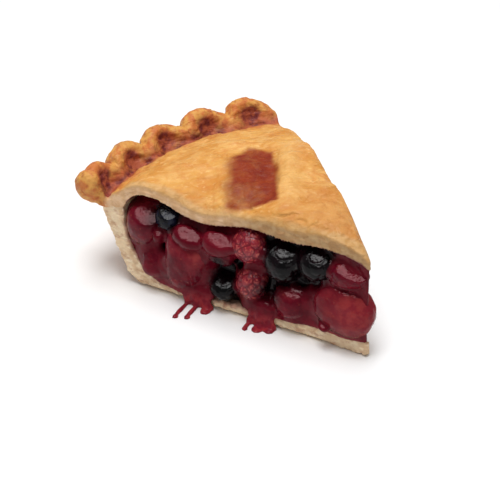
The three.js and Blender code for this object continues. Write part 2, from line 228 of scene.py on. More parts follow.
# How far out of a cut the fruit counts as where there is none.
NO_FRUIT = -9.0

# How square soft fruit is.
SQUARENESS = {"strawberry": 2.5, "blueberry": 2.1}
# Drupelets: how many, how far out their middles are, how big they are, and how far they melt together.
DRUPELETS = {"raspberry": 50, "bramble": 46}
DRUPELET_MIDDLES = (0.72, 0.8)
DRUPELET_SIZES = (0.95, 1.2)
DRUPELET_SOFTNESS = 0.55
# How often the ball that each fruit starts as is split.
FRUIT_DETAIL = {"front": 6, "back": 5}
# How much fruit is swollen along the cut, up and out of it.
SWOLLEN = {
    "strawberry": (1.12, 1.08, 1.12),
    "strawberry_1": (1.08, 1.0, 1.12),
    "strawberry_6": (1.0, 0.94, 1.2),
    "raspberry": (1.08, 1.04, 1.1),
    "bramble": (1.14, 1.06, 1.1),
    "blueberry": (1.3, 1.2, 1.1),
}
# Where a fruit's paler heart shows through, painted lighter as a glow of light through its flesh: distance
# from the tip, height and reach.
GLOW_SPOTS = {"strawberry_6": (6, 20, 11), "strawberry_3": (74, 24, 4)}
# The side of each fruit that is pressed flat: along the cut, up and out of it, how far out and how softly.
FLAT_SIDE = np.array([-0.22, 0.84, 0.5])
FLAT_AT = {
    "strawberry": 0.74, "strawberry_2": 0.95, "strawberry_3": 0.92, "strawberry_4": 0.7,
    "strawberry_5": 0.9, "strawberry_6": 0.98, "strawberry_7": 0.58, "bramble": 0.78, "blueberry": 0.74,
}
FLAT_BLEND = 0.02
# How far a fruit's skin sinks where it comes out of the juice.
SETTLED = 0.5
# How deep a fruit's wrinkles are, as a share of its radius.
WRINKLED = {"strawberry_7": 0.09}
# Beads of juice at the front cut: distance from the tip, height and radii along, up and out.
BEADS = [
    (93.2, 27.4, 2.8, 4, 3.2),
    (18.2, 10.6, 2.6, 2.6, 3.6),
    (79.2, 30.6, 7.4, 5.2, 4),
    (65.6, 32.4, 7.2, 5.6, 4),
]
BEAD_FLAT_AT = 0.56
# Fruit that no juice covers, and how far behind its skin the juice then stays.
BARE = ("strawberry_6",)
BARE_BY = 0.35


# ---- curves and noise
def smooth(low, high, x):
    t = np.clip((x - low) / (high - low), 0, 1)
    return t * t * (3 - 2 * t)


def between(pair, t):
    return pair[0] + (pair[1] - pair[0]) * t


def turned(x, y, angle):
    """A place's reach along a direction at that angle from +X, and across it."""
    along = x * math.cos(angle) + y * math.sin(angle)
    across = -x * math.sin(angle) + y * math.cos(angle)
    return along, across


def height_at(points, r):
    """A smooth height over a list of (r, z) points."""
    xs, zs = np.array(points, float).T
    last = len(xs) - 1
    before = np.maximum(np.arange(last + 1) - 1, 0)
    after = np.minimum(np.arange(last + 1) + 1, last)
    slopes = (zs[after] - zs[before]) / (xs[after] - xs[before])
    x = np.clip(r, xs[0], xs[-1])
    i = np.clip(np.searchsorted(xs, x) - 1, 0, last - 1)
    span = xs[i + 1] - xs[i]
    t = (x - xs[i]) / span
    from_left = zs[i] * (1 + 2 * t) * (1 - t) ** 2 + slopes[i] * span * t * (1 - t) ** 2
    from_right = zs[i + 1] * t * t * (3 - 2 * t) + slopes[i + 1] * span * t * t * (t - 1)
    return from_left + from_right


CELL_MIX = (73856093, 19349663, 83492791)
SEED_MIX = 2654435761
LAST_MIX = 1274126177
# Where the noise's cells start, so that none has a number below zero.
CELL_START = 1000.5


def lattice_value(cell, seed):
    """A repeatable value from 0 to 1 for each cell."""
    x, y, z = (cell[..., axis] * prime for axis, prime in enumerate(CELL_MIX))
    mixed = x ^ y ^ z ^ (seed * SEED_MIX)
    mixed = (mixed ^ (mixed >> 13)) * LAST_MIX
    mixed = (mixed ^ (mixed >> 16)) & 0xFFFFFF
    return mixed / 0xFFFFFF


def noise(points, size, seed=0):
    """Smooth noise from -1 to 1, its features about size long. size may be one for each axis."""
    scaled = points / np.array(size, float) + CELL_START
    cell = np.floor(scaled).astype(np.int64)
    part = scaled - cell
    part = part * part * (3 - 2 * part)
    total = np.zeros(len(points))
    for corner in np.ndindex(2, 2, 2):
        corner = np.array(corner)
        weight = np.prod(np.where(corner == 1, part, 1 - part), axis=1)
        total += weight * lattice_value(cell + corner, seed)
    return total * 2 - 1


def lumps(points, size, seed=0, octaves=3):
    """Noise of that size with finer noise on it."""
    total = np.zeros(len(points))
    for octave in range(octaves):
        total += noise(points, np.array(size, float) / 2 ** octave, seed + octave) / 2 ** octave
    return total / (2 - 2 ** (1 - octaves))


def in_slice(r, theta, z):
    return np.stack([r * np.sin(theta), r * np.cos(theta), z + 0 * r], axis=-1)


def at_cut(cut, s, out, z):
    """A place by its distance from the tip along a cut, how far it stands out of the cut and its height."""
    return np.multiply.outer(s, ALONG[cut]) + np.multiply.outer(out, OUT[cut]) + np.multiply.outer(z, UP)


def polar(corners):
    return np.hypot(corners[:, 0], corners[:, 1]), np.arctan2(corners[:, 0], corners[:, 1])


# ---- the crusts' forms
def tip_rise(r):
    return TIP_RISE * np.exp(-(r / TIP_RISE_REACH) ** 2)


def lid_relief(x, y):
    waves = (
        0.5 * np.sin(x / 5.3 + 0.7) * np.cos(y / 7.1)
        + 0.35 * np.sin((x + y) / 3.9 + 1.3)
        + 0.3 * np.cos((x - 1.6 * y) / 6.2)
    )
    along, across = turned(x - HOLLOW["x"], y - HOLLOW["y"], HOLLOW["turn"])
    in_length = 1 - smooth(HOLLOW["half"] - 3, HOLLOW["half"] + 2, np.abs(along))
    in_width = smooth(-3, 0, across) * (1 - smooth(0, HOLLOW["width"], across))
    from_ridge = ((across - RIDGE["offset"]) / RIDGE["width"]) ** 2
    ridge = np.exp(-from_ridge - ((along - RIDGE["middle"]) / RIDGE["half"]) ** 2)
    return waves - HOLLOW["depth"] * in_length * in_width + RIDGE["height"] * ridge


def lid_dome(r, theta):
    side = np.clip(theta / HALF_ANGLE, -1, 1)
    middle = height_at(LID_TOP_MIDDLE, r)
    front = theta < 0
    edge = np.where(front, height_at(LID_TOP_FRONT, r), height_at(LID_TOP_BACK, r))
    dome = middle + (edge - middle) * side * side
    to_cut = r * np.sin(np.maximum(0, HALF_ANGLE - np.abs(theta)))
    droop = np.where(front, height_at(EDGE_DROOP_FRONT, r), EDGE_DROOP_BACK)
    return dome - droop * np.maximum(0, 1 - to_cut / DROOP_REACH) ** 2


def lid_top(r, theta):
    fade = smooth(0, 14, r) * (1 - smooth(104, 114, r))
    return lid_dome(r, theta) + fade * lid_relief(r * np.sin(theta), r * np.cos(theta))


def lid_under(r, theta):
    return lid_dome(r, theta) - height_at(LID_THICKNESS, r)


def lobe_share(theta):
    """How far a turn is along its lobe, from 0 at one pinch to 1 at the next."""
    degrees = np.degrees(theta)
    i = np.clip(np.searchsorted(PINCHES, degrees) - 1, 0, LOBES)
    pinches = np.array(PINCHES)
    share = (degrees - pinches[i]) / (pinches[i + 1] - pinches[i])
    return np.where(i >= LOBES, 0, np.clip(share, 0, 1))


def lobe_at(theta):
    """0 in a pinch of the rim, 1 at a lobe's crest."""
    return np.sin(np.pi * lobe_share(theta) ** LOBE_SKEW) ** LOBE_ROUNDNESS


def thumb_hollow(r, theta):
    """How deep into a lobe's thumb-pressed hollow a place is, 0 outside and 1 in its middle."""
    share = lobe_share(theta)
    along = (share - THUMB["share"]) / THUMB["spread"]
    across = (r - THUMB["r"]) / THUMB["width"]
    return np.exp(-along ** 2 - across ** 2) * (share > 0)


def top_crust_section(theta, top_steps=150, rim_steps=60, under_steps=60):
    lobe = lobe_at(theta)
    half_width = between(RIM_HALF_WIDTH, lobe)
    half_height = (between(RIM_TOP, lobe) - between(RIM_UNDERSIDE, lobe)) / 2
    middle_r = between(RIM_OUTER_RADIUS, lobe) - half_width
    middle_z = between(RIM_UNDERSIDE, lobe) + half_height
    valley_r = between(VALLEY_RADIUS, lobe)
    valley_z = lid_top(valley_r, theta) - between(VALLEY_DIP, lobe)
    under_r = np.linspace(TIP_RADIUS, SEAM_INNER[0] - 3, under_steps)
    turn = np.radians(np.linspace(-110, 160, rim_steps))
    top_r = np.linspace(valley_r - 3, TIP_RADIUS, top_steps)
    return np.concatenate([
        np.stack([under_r, lid_under(under_r, theta)], 1),
        [(SEAM_INNER[0], SEAM_INNER[1] + 0.3), (SEAM_OUTER[0] + 0.4, SEAM_OUTER[1] + 0.3)],
        np.stack([middle_r + half_width * np.cos(turn), middle_z + half_height * np.sin(turn)], 1),
        [(valley_r, valley_z)],
        np.stack([top_r, lid_top(top_r, theta)], 1),
    ])


def bottom_crust_section(theta, steps=60):
    """The bottom crust's section, the same at every turn, with its top edge raised into the rim."""
    floor_r = np.linspace(WALL_INSIDE[-1][0] - 8, TIP_RADIUS, steps)
    floor = np.stack([floor_r, height_at(FLOOR_TOP, floor_r)], 1)
    raised = [(SEAM_OUTER[0] + 0.2, SEAM_OUTER[1] + 2.2), (SEAM_INNER[0] + 0.4, SEAM_INNER[1] + 1.6)]
    return np.concatenate([[(TIP_RADIUS, 0)], WALL_OUTSIDE, raised, WALL_INSIDE, floor])


def at_gap(r):
    """1 in the middle of the gap near the rim, falling to 0 at its ends."""
    return np.exp(-((r - LID_GAP["s"]) / LID_GAP["half"]) ** 4)


def filling_gap(r):
    """How far the set juice ends below the lid at a cut."""
    return (LID_GAP["elsewhere"] + LID_GAP["high"] * at_gap(r)) * smooth(2, 12, r)


def filling_section(theta, steps=60):
    floor_r = np.linspace(TIP_RADIUS, WALL_INSIDE[-1][0] - 8, steps)
    under_r = np.linspace(SEAM_INNER[0] - 3, TIP_RADIUS, steps)
    to_cut = under_r * np.sin(HALF_ANGLE - np.abs(theta))
    lowered = filling_gap(under_r) * smooth(7, 1, to_cut)
    return np.concatenate([
        np.stack([floor_r, height_at(FLOOR_TOP, floor_r) - 0.6], 1),
        [(r + 0.4, z - 0.3) for r, z in reversed(WALL_INSIDE)],
        np.stack([under_r, lid_under(under_r, theta) + 0.5 - lowered], 1),
    ])


# ---- mesh helpers
def loft(rings):
    """Corners and faces of a closed body through rings of equal length, with a face over each end."""
    count = len(rings[0])
    faces = []
    for k in range(len(rings) - 1):
        for i in range(count):
            j = (i + 1) % count
            faces.append((k * count + i, k * count + j, (k + 1) * count + j, (k + 1) * count + i))
    faces.append(tuple(reversed(range(count))))
    faces.append(tuple(range((len(rings) - 1) * count, len(rings) * count)))
    return np.concatenate(rings), faces


def sweep(section, steps, inset=0):
    """A section swept from cut to cut. inset ends the body that far behind each cut."""
    rings = []
    for theta in np.linspace(-HALF_ANGLE, HALF_ANGLE, steps + 1):
        r, z = section(theta).T
        depth = np.minimum(inset, 0.2 * r)
        rings.append(in_slice(r, theta * (1 - np.arcsin(depth / r) / HALF_ANGLE), z))
    return loft(rings)


def ball(detail):
    """Corners and faces of a ball of radius 1, from an icosahedron split detail times."""
    work = bmesh.new()
    bmesh.ops.create_icosphere(work, subdivisions=detail, radius=1)
    corners = np.array([v.co for v in work.verts])
    faces = [tuple(v.index for v in face.verts) for face in work.faces]
    work.free()
    return corners, faces


def join(parts):
    corners = []
    faces = []
    offset = 0
    for part_corners, part_faces in parts:
        corners.append(part_corners)
        faces += [tuple(offset + v for v in face) for face in part_faces]
        offset += len(part_corners)
    return np.concatenate(corners), faces


def add_object(name, data):
    added = bpy.data.objects.new(name, data)
    bpy.context.scene.collection.objects.link(added)
    return added


def new_piece(name, corners, faces):
    """A piece from corners in millimetres in the slice's own frame."""
    mesh = bpy.data.meshes.new(name)
    mesh.from_pydata((TIP + corners * MM).tolist(), [], faces)
    mesh.update()
    mesh.shade_smooth()
    return add_object(name, mesh)


def corners_of(piece):
    flat = np.empty(len(piece.data.vertices) * 3)
    piece.data.vertices.foreach_get("co", flat)
    return (flat.reshape(-1, 3) - TIP) / MM


def set_corners(piece, corners):
    piece.data.vertices.foreach_set("co", (TIP + corners * MM).ravel())
    piece.data.update()


def normals_of(piece):
    flat = np.empty(len(piece.data.vertices) * 3)
    piece.data.vertices.foreach_get("normal", flat)
    return flat.reshape(-1, 3)


def apply_modifiers(piece):
    evaluated = piece.evaluated_get(bpy.context.evaluated_depsgraph_get())
    mesh = bpy.data.meshes.new_from_object(evaluated)
    old = piece.data
    piece.modifiers.clear()
    piece.data = mesh
    bpy.data.meshes.remove(old)
    mesh.name = piece.name
    mesh.shade_smooth()


def remesh(piece, size, smoothing):
    """Turns a piece's overlapping bodies into one even skin with quads of that size, and smooths it."""
    skin = piece.modifiers.new("skin", "REMESH")
    skin.mode = "VOXEL"
    skin.voxel_size = size * MM
    relax = piece.modifiers.new("relax", "SMOOTH")
    relax.factor = 0.5
    relax.iterations = smoothing
    apply_modifiers(piece)


def set_masks(piece, masks):
    """Gives each corner a value from 0 to 1 for each named mask."""
    for name, values in masks.items():
        attribute = piece.data.attributes.new(name, "FLOAT", "POINT")
        attribute.data.foreach_set("value", np.clip(values, 0, 1).astype(np.float32))


# ---- material helpers
class Nodes:
    """Builds a material's node tree in few words."""

    def __init__(self, name):
        self.material = bpy.data.materials.new(name)
        self.material.use_nodes = True
        self.tree = self.material.node_tree
        self.tree.nodes.clear()
        self.shader = self.node("BsdfPrincipled")
        self.node("OutputMaterial", Surface=self.shader.outputs[0])
        self.place = self.node("TexCoord").outputs["Object"]

    def node(self, kind, **inputs):
        """A new node with its inputs set or linked."""
        made = self.tree.nodes.new("ShaderNode" + kind)
        for name, source in inputs.items():
            self.link(source, made.inputs[name.replace("_", " ")])
        return made

    def link(self, source, target):
        if isinstance(source, (int, float)):
            target.default_value = source
        elif isinstance(source, tuple):
            target.default_value = (*source, 1) if len(source) == 3 else source
        else:
            self.tree.links.new(source, target)

    def scaled_place(self, size, stretch=(1, 1, 1), turn=0):
        """The place in the slice with size millimetres as its unit, turned about Z by turn degrees."""
        mapping = self.node("Mapping", Vector=self.place)
        mapping.vector_type = "TEXTURE"
        mapping.inputs["Rotation"].default_value = (0, 0, math.radians(turn))
        mapping.inputs["Scale"].default_value = tuple(size * MM * s for s in stretch)
        return mapping.outputs[0]

    def noise(self, size, detail=3, roughness=0.55, stretch=(1, 1, 1), turn=0, distortion=0):
        """Noise from 0 to 1 with features about size millimetres long."""
        place = self.scaled_place(size, stretch, turn)
        shape = {"Detail": detail, "Roughness": roughness, "Distortion": distortion}
        return self.node("TexNoise", Vector=place, Scale=1, **shape).outputs["Fac"]

    def cells(self, size):
        """The distance to the nearest of many scattered points that are about size millimetres apart."""
        return self.node("TexVoronoi", Vector=self.scaled_place(size), Scale=1).outputs["Distance"]

    def mask(self, name):
        node = self.node("Attribute")
        node.attribute_name = name
        return node.outputs["Fac"]

    def ramp(self, source, low, high, to_low=0.0, to_high=1.0):
        """A smooth step: to_low where the source is low, to_high where it is high."""
        steps = {"From_Min": low, "From_Max": high, "To_Min": to_low, "To_Max": to_high}
        node = self.node("MapRange", Value=source, **steps)
        node.interpolation_type = "SMOOTHSTEP"
        return node.outputs["Result"]

    def mix(self, share, a, b):
        node = self.node("Mix")
        node.data_type = "RGBA"
        self.link(share, node.inputs["Factor"])
        self.link(a, node.inputs["A"])
        self.link(b, node.inputs["B"])
        return node.outputs["Result"]

    def blend(self, size, low, high, a, b, amount=1.0, **shape):
        """Colour a with patches of b where noise of that size rises from low to high."""
        return self.mix(self.ramp(self.noise(size, **shape), low, high, 0, amount), a, b)

    def cover(self, colour, layers):
        """A colour with layers over it, each where the mask of its name is."""
        for name, layer in layers.items():
            colour = self.mix(self.mask(name), colour, layer)
        return colour

    def bump(self, height, depth, before=None):
        """Relief depth millimetres deep where height goes from 0 to 1."""
        node = self.node("Bump", Distance=depth * MM, Height=height)
        if before is not None:
            self.link(before, node.inputs["Normal"])
        return node.outputs[0]

    def finish(self, colour, roughness, normal=None, **fixed):
        links = {"Base Color": colour, "Roughness": roughness, "Normal": normal}
        for name, source in links.items():
            if source is not None:
                self.link(source, self.shader.inputs[name])
        for key, value in fixed.items():
            self.shader.inputs[key.replace("_", " ")].default_value = value
        return self.material


def srgb(red, green, blue):
    """A colour as seen on screen, 0 to 255, as the linear colour that a shader takes."""
    def linear(value):
        value /= 255
        return value / 12.92 if value <= 0.04045 else ((value + 0.055) / 1.055) ** 2.4
    return tuple(linear(v) for v in (red, green, blue))


def dress(piece, material, slot_name, *nodes):
    piece.data.materials.append(material)
    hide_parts(*nodes)
    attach(piece, "root")


# ---- materials
CRUMB_RADIUS = (0.0012, 0.0008, 0.0005)
FRUIT_RADIUS = (0.0035, 0.0009, 0.0008)
BAKED = {"IOR": 1.3, "Subsurface_Weight": 0.08, "Subsurface_Radius": CRUMB_RADIUS}
WET = {"IOR": 1.24, "Subsurface_Weight": 0.2, "Subsurface_Radius": FRUIT_RADIUS}
WET_TINT = (1.0, 0.58, 0.6)
BLACK_IOR = 1.235
SEED_GAP = 2.6
# Streaks on the lid's golden top: size, where their noise starts and is full, colour, share, detail,
# length, turn and distortion.
STREAKS = [
    (9, 0.45, 0.62, (228, 180, 110), 0.55, 4, 1.5, -30, 0.8),
    (8, 0.48, 0.64, (196, 118, 50), 0.45, 4, 1.5, -34, 0.8),
    (2.4, 0.54, 0.72, (198, 122, 60), 0.35, 4, 1.6, -26, 0),
    (1.6, 0.56, 0.74, (242, 202, 138), 0.4, 3, 1.6, -32, 0),
]


def two_tone(n, size, first, second, low=0.4, high=0.64, **shape):
    """One colour with patches of another, about size millimetres long."""
    return n.blend(size, low, high, srgb(*first), srgb(*second), **shape)


def golden_top(n):
    golden = two_tone(n, 14, (200, 136, 60), (212, 154, 78), 0.4, 0.6)
    for size, low, high, tone, share, detail, length, turn, distortion in STREAKS:
        shape = {"detail": detail, "stretch": (length, 1, 1), "turn": turn, "distortion": distortion}
        golden = n.blend(size, low, high, golden, srgb(*tone), share, **shape)
    by_tip = two_tone(n, 5, (184, 120, 62), (200, 142, 80), 0.4, 0.62, detail=4)
    return n.cover(golden, {"tip": by_tip})


def baked_rim(n):
    rim = two_tone(n, 5, (210, 152, 78), (194, 114, 58), 0.42, 0.58, detail=4)
    return n.blend(2.6, 0.5, 0.7, rim, srgb(160, 78, 44), 0.6)


def pale_edge(n):
    # Near the tip the rolled edge is painted darker as shade, where it turns down and away.
    by_tip = two_tone(n, 3, (196, 156, 104), (184, 140, 84))
    return n.cover(by_tip, {"far": two_tone(n, 3, (204, 162, 108), (188, 144, 88))})


def browned(n):
    brown = two_tone(n, 6, (138, 48, 12), (122, 34, 12), 0.35, 0.65, detail=4)
    return n.blend(1.8, 0.5, 0.72, brown, srgb(158, 72, 24), 0.35, detail=4)


def pastry_inside(n):
    # Near the tip the cut face is painted darker as shade, where it turns down and away.
    by_tip = two_tone(n, 4, (186, 152, 108), (170, 130, 86), 0.4, 0.62)
    pale = n.cover(by_tip, {"far": two_tone(n, 4, (228, 190, 150), (212, 170, 126), 0.4, 0.62)})
    return n.blend(1.2, 0.52, 0.72, pale, srgb(204, 156, 112), 0.45, detail=4, stretch=(3, 3, 0.8))


def lid_material():
    n = Nodes("baked_lid")
    colour = n.cover(golden_top(n), {
        "rim": baked_rim(n),
        "pale": two_tone(n, 3, (226, 180, 112), (214, 164, 96)),
        "edge": pale_edge(n),
        "brown": browned(n),
        # Thumb hollows, the groove inside the rim and one side of each lobe's crest: partly browned crust,
        # partly painted shade.
        "pit_brown_and_shade": two_tone(n, 3.4, (164, 82, 54), (108, 42, 42)),
        "cut": pastry_inside(n),
        "stain": two_tone(n, 2, (150, 96, 92), (104, 44, 54), 0.4, 0.65),
        # Dark blotches along the lid near its back cut, by the rim.
        "dark_back_edge": srgb(70, 50, 34),
    })
    relief = n.bump(n.noise(1.0, 4, 0.6), 0.22)
    relief = n.bump(n.noise(2.4, 3, 0.55, stretch=(3, 1, 2), turn=-30), 0.6, relief)
    relief = n.bump(n.noise(5, 2, 0.5, stretch=(1.6, 1, 1), turn=-30, distortion=1.0), 0.9, relief)
    rough = n.ramp(n.noise(4, 3), 0.3, 0.7, 0.42, 0.6)
    return n.finish(colour, rough, relief, **BAKED)


def base_material():
    n = Nodes("baked_base")
    pale = two_tone(n, 6, (234, 208, 172), (218, 184, 146), 0.38, 0.62, detail=4)
    pale = n.blend(1.6, 0.48, 0.66, pale, srgb(248, 228, 196), 0.8, detail=4, stretch=(2, 2, 1))
    pale = n.blend(2.2, 0.52, 0.68, pale, srgb(178, 128, 102), 0.6, detail=4, stretch=(1.6, 1.6, 1))
    colour = n.cover(pale, {
        "toast": two_tone(n, 9, (204, 156, 106), (188, 136, 90), 0.3, 0.7, detail=5),
        "stain": two_tone(n, 2.2, (156, 92, 82), (112, 40, 46), 0.4, 0.62, detail=4),
    })
    return n.finish(colour, 0.75, n.bump(n.noise(0.9, 5, 0.65), 0.35), **BAKED)


def juice_red(n):
    return two_tone(n, 5, (84, 7, 22), (100, 16, 30), 0.35, 0.65)


def juice_black(n):
    return two_tone(n, 7, (6, 3, 5), (20, 4, 9), 0.36, 0.64)


def wet_roughness(n, size):
    return n.ramp(n.noise(size, 2), 0.35, 0.65, 0.06, 0.18)


def gel_material():
    n = Nodes("set_juice")
    # Black juice beside black fruit and, as painted shade, in the hollows between fruit; red juice beside
    # red fruit.
    colour = n.cover(juice_black(n), {
        "by_red": juice_red(n),
        "thin": two_tone(n, 3, (120, 28, 42), (148, 46, 52), 0.4, 0.6),
    })
    n.link(n.mix(n.mask("by_red"), (1.0, 1.0, 1.0), WET_TINT), n.shader.inputs["Specular Tint"])
    relief = n.bump(n.noise(1.0, 2, 0.5), 0.06)
    relief = n.bump(n.noise(2.6, 3, 0.5), 0.3, relief)
    return n.finish(colour, wet_roughness(n, 5), relief, **WET)


def strawberry_material():
    n = Nodes("cooked_strawberry")
    colour = two_tone(n, 7, (84, 7, 24), (108, 16, 32), 0.34, 0.66)
    colour = n.blend(3.4, 0.5, 0.74, colour, srgb(128, 38, 44), 0.55, detail=4)
    seeds = n.ramp(n.cells(SEED_GAP), 0.2, 0.1, 0, 0.25)
    colour = n.cover(n.mix(seeds, colour, srgb(160, 80, 60)), {
        "sunk": juice_red(n),
        # A lighter, warmer middle, painted as light glowing through the fruit.
        "warm": two_tone(n, 4, (130, 36, 46), (150, 54, 54)),
        # Near black where the fruit lies in a hollow: painted shade.
        "dark": juice_black(n),
    })
    n.link(WET_TINT, n.shader.inputs["Specular Tint"])
    relief = n.bump(n.ramp(n.cells(SEED_GAP), 0.0, 0.3), 0.06)
    relief = n.bump(n.noise(1.1, 2, 0.5), 0.05, relief)
    relief = n.bump(n.noise(2.6, 3, 0.5, stretch=(1, 1, 1.8)), 0.24, relief)
    return n.finish(colour, wet_roughness(n, 4), relief, **WET)


def raspberry_material():
    n = Nodes("raspberry_skin")
    colour = two_tone(n, 3.6, (116, 20, 38), (150, 42, 52), 0.36, 0.64)
    # Pale orange specks, scattered at random, stand in for glints on the drupelets: painted highlights.
    colour = n.blend(1.1, 0.5, 0.62, colour, srgb(206, 96, 84), 0.6)
    # The dark crease colour is painted shade between the drupelets.
    # The near-black colour in the hollows is painted shade.
    colour = n.cover(colour, {"crease_shade": srgb(98, 14, 30), "sunk": juice_red(n), "dark": juice_black(n)})
    relief = n.bump(n.noise(1.3, 3), 0.4)
    return n.finish(
        colour, 0.14, relief, IOR=1.33, Subsurface_Weight=0.3, Subsurface_Radius=FRUIT_RADIUS,
    )


def bramble_material():
    n = Nodes("bramble_skin")
    colour = two_tone(n, 4, (3, 3, 4), (16, 5, 10), 0.4, 0.66)
    # The darker crease colour is painted shade between the drupelets.
    colour = n.cover(colour, {"crease_shade": srgb(3, 2, 3)})
    return n.finish(colour, 0.08, n.bump(n.noise(1.6, 3), 0.25), IOR=BLACK_IOR)


def blueberry_material():
    n = Nodes("blueberry_skin")
    colour = two_tone(n, 3, (6, 5, 9), (22, 24, 40), 0.38, 0.62, detail=4)
    colour = n.cover(colour, {"sunk": juice_black(n)})
    return n.finish(colour, 0.12, n.bump(n.noise(1.2, 3), 0.2), IOR=BLACK_IOR)


# ---- the crusts
def behind(corners, cut):
    """How far each point is behind a cut's plane."""
    return -(corners @ OUT[cut])


def on_cut(corners, normals):
    """How much each point lies at a cut and faces out of it."""
    share = np.zeros(len(corners))
    for cut in CUTS:
        near = smooth(3.2, 1.4, behind(corners, cut))
        share = np.maximum(share, near * smooth(0.3, 0.75, normals @ OUT[cut]))
    return share


def in_patch(x, y, wobble):
    """How far inside the browned patch a place is, 0 outside and 1 within."""
    inside = np.ones(len(x))
    corners = np.array(PATCH_CORNERS, float)
    for start, end, fade in zip(corners, np.roll(corners, -1, axis=0), PATCH_FADES):
        run = (end - start) / np.linalg.norm(end - start)
        inwards = (x - start[0]) * run[1] - (y - start[1]) * run[0] + wobble * max(0.4 * fade, 0.9)
        inside = np.minimum(inside, smooth(-0.6 * fade, 0.8 * fade, inwards))
    return inside


def knob_body():
    corners, faces = ball(4)
    middle = at_cut("front", KNOB["r"], 0, KNOB["z"])
    basis = np.array([ALONG["front"] * KNOB["wide"], OUT["front"] * KNOB["off"], UP * KNOB["high"]])
    return middle + corners @ basis, faces


def rolled_noise(corners, size, stretch, seed):
    """Noise drawn out along the way that the dough was rolled."""
    x, y, z = corners.T
    along, across = turned(x, y, ROLLED)
    return lumps(np.stack([along / stretch, across, z], 1), size, seed)


def lid_zones(corners, normals):
    """Where each point of the lid lies: on its cut face, top or rim, and how far below its top."""
    r, theta = polar(corners)
    face = on_cut(corners, normals) * smooth(119, 115, r)
    return SimpleNamespace(
        r=r,
        theta=theta,
        up=normals[:, 2],
        face=face,
        on_top=smooth(0.1, 0.5, normals[:, 2]) * (1 - face),
        rim=smooth(111, 117, r),
        pressed=thumb_hollow(r, theta) * smooth(-0.2, 0.4, normals[:, 2]),
        below_top=lid_top(r, theta) - corners[:, 2],
    )


def lid_lift(corners, zone):
    """How far each point moves outwards: thumb hollows, lumps, thin layers, blisters, ragged cut face."""
    lift = -THUMB["depth"] * zone.pressed
    lift += 0.45 * lumps(corners, 6.0, 3) * zone.on_top
    lift += 0.32 * rolled_noise(corners, 2.2, 2.4, 12) * zone.on_top
    layer = rolled_noise(corners, 10, 1.5, 91) / FLAKE_RISE
    lift += FLAKE_STEP * (np.floor(layer) + smooth(0, 0.35, layer - np.floor(layer))) * zone.on_top
    lift += 0.12 * lumps(corners, 1.3, 9) * np.maximum(zone.on_top, zone.rim)
    lift += 0.5 * lumps(corners, 4.4, 21) * zone.rim
    blister = smooth(0.35, 0.8, lumps(corners, 4.5, 71)) * smooth(70, 35, zone.r)
    lift += BLISTER_HEIGHT * blister * zone.on_top
    ragged = 0.5 * lumps(corners, (5.5, 5.5, 2.0), 31) + 0.12 * lumps(corners, 1.2, 33)
    layers = 0.1 * np.sin(zone.below_top / 0.4 + 3 * lumps(corners, 6, 41))
    return lift + (ragged + layers) * zone.face * smooth(0.8, 2.2, zone.below_top)


def lid_masks(corners, zone):
    """Where each layer of the lid's colour lies."""
    x, y, z = corners.T
    r = zone.r
    wander = lumps(corners, 5, 51)
    brown = 0.84 + 0.14 * smooth(-26, -6, x + 3 * wander) + 0.25 * lumps(corners, 4, 53)
    edge_width = 2.6 + 1.6 * smooth(70, 90, r) + 3.4 * smooth(26, 8, r)
    edge = smooth(edge_width, edge_width - 2.4, behind(corners, "front") + 0.8 * wander)
    dx, dy = x - HOLLOW["x"], y - HOLLOW["y"]
    from_ridge = turned(dx, dy, HOLLOW["turn"])[1] - RIDGE["offset"]
    ridge = np.exp(-(from_ridge / 4.5) ** 2) * smooth(30, 14, np.hypot(dx, dy) + 6 * wander)
    # The groove inside the rim is darkened, partly as browning and partly as painted shade.
    groove_shade = np.exp(-((r - 117) / 2.4) ** 2) * smooth(-0.2, 0.4, zone.up) * (1 + 0.4 * wander)
    pit_brown_and_shade = smooth(0.2, 0.75, zone.pressed + 0.2 * lumps(corners, 4, 59))
    # One side of each lobe's outer crest is darkened with the hollow colour as painted shade.
    crest = 0.5 * smooth(124, 129, r) * smooth(0.3, 0.7, lobe_share(zone.theta) + 0.3 * wander)
    crest *= smooth(0, 0.5, zone.up)
    golden_edge = 0.3 + 0.5 * lumps(corners, 3, 57)
    underside = smooth(0, -0.4, zone.up) * (r < 113)
    above_under = z - lid_under(r, zone.theta)
    back_edge = smooth(3, 1, behind(corners, "back")) * smooth(88, 92, r) * smooth(108, 104, r)
    return {
        "brown": in_patch(x, y, wander) * zone.on_top * brown,
        "rim": smooth(106, 118, r + 4 * wander),
        "pale": 0.6 * ridge * zone.on_top,
        "edge": 0.85 * edge * smooth(-0.3, 0.1, zone.up) * smooth(112, 108, r),
        # Away from the tip; nearer the tip the edge and cut face get painted shade.
        "far": smooth(46, 66, r),
        "tip": 0.75 * smooth(56, 18, r + 5 * wander),
        "pit_brown_and_shade": np.maximum(np.maximum(pit_brown_and_shade, groove_shade), crest) * (1 - zone.face),
        "cut": np.maximum(zone.face * smooth(-0.6, 2.0, zone.below_top - golden_edge), underside),
        "stain": smooth(1.1, -0.1, above_under + 0.5 * lumps(corners, 2, 61)) * (r < 108),
        "dark_back_edge": back_edge * smooth(0.25, 0.5, lumps(corners, 2.4, 81)),
    }


def make_lid():
    lid = new_piece("lid_crust", *join([sweep(top_crust_section, 150), knob_body()]))
    remesh(lid, QUAD["lid"], 6)
    corners = corners_of(lid)
    normals = normals_of(lid)
    zone = lid_zones(corners, normals)
    corners = corners + normals * lid_lift(corners, zone)[:, None]
    over_gap = at_gap(zone.r) * smooth(7, 1, behind(corners, "front"))
    corners[:, 2] += THINNED * over_gap * smooth(2, 5, zone.below_top)
    set_corners(lid, corners)
    set_masks(lid, lid_masks(corners, zone))
    dress(lid, lid_material(), "top_crust", "top_crust")


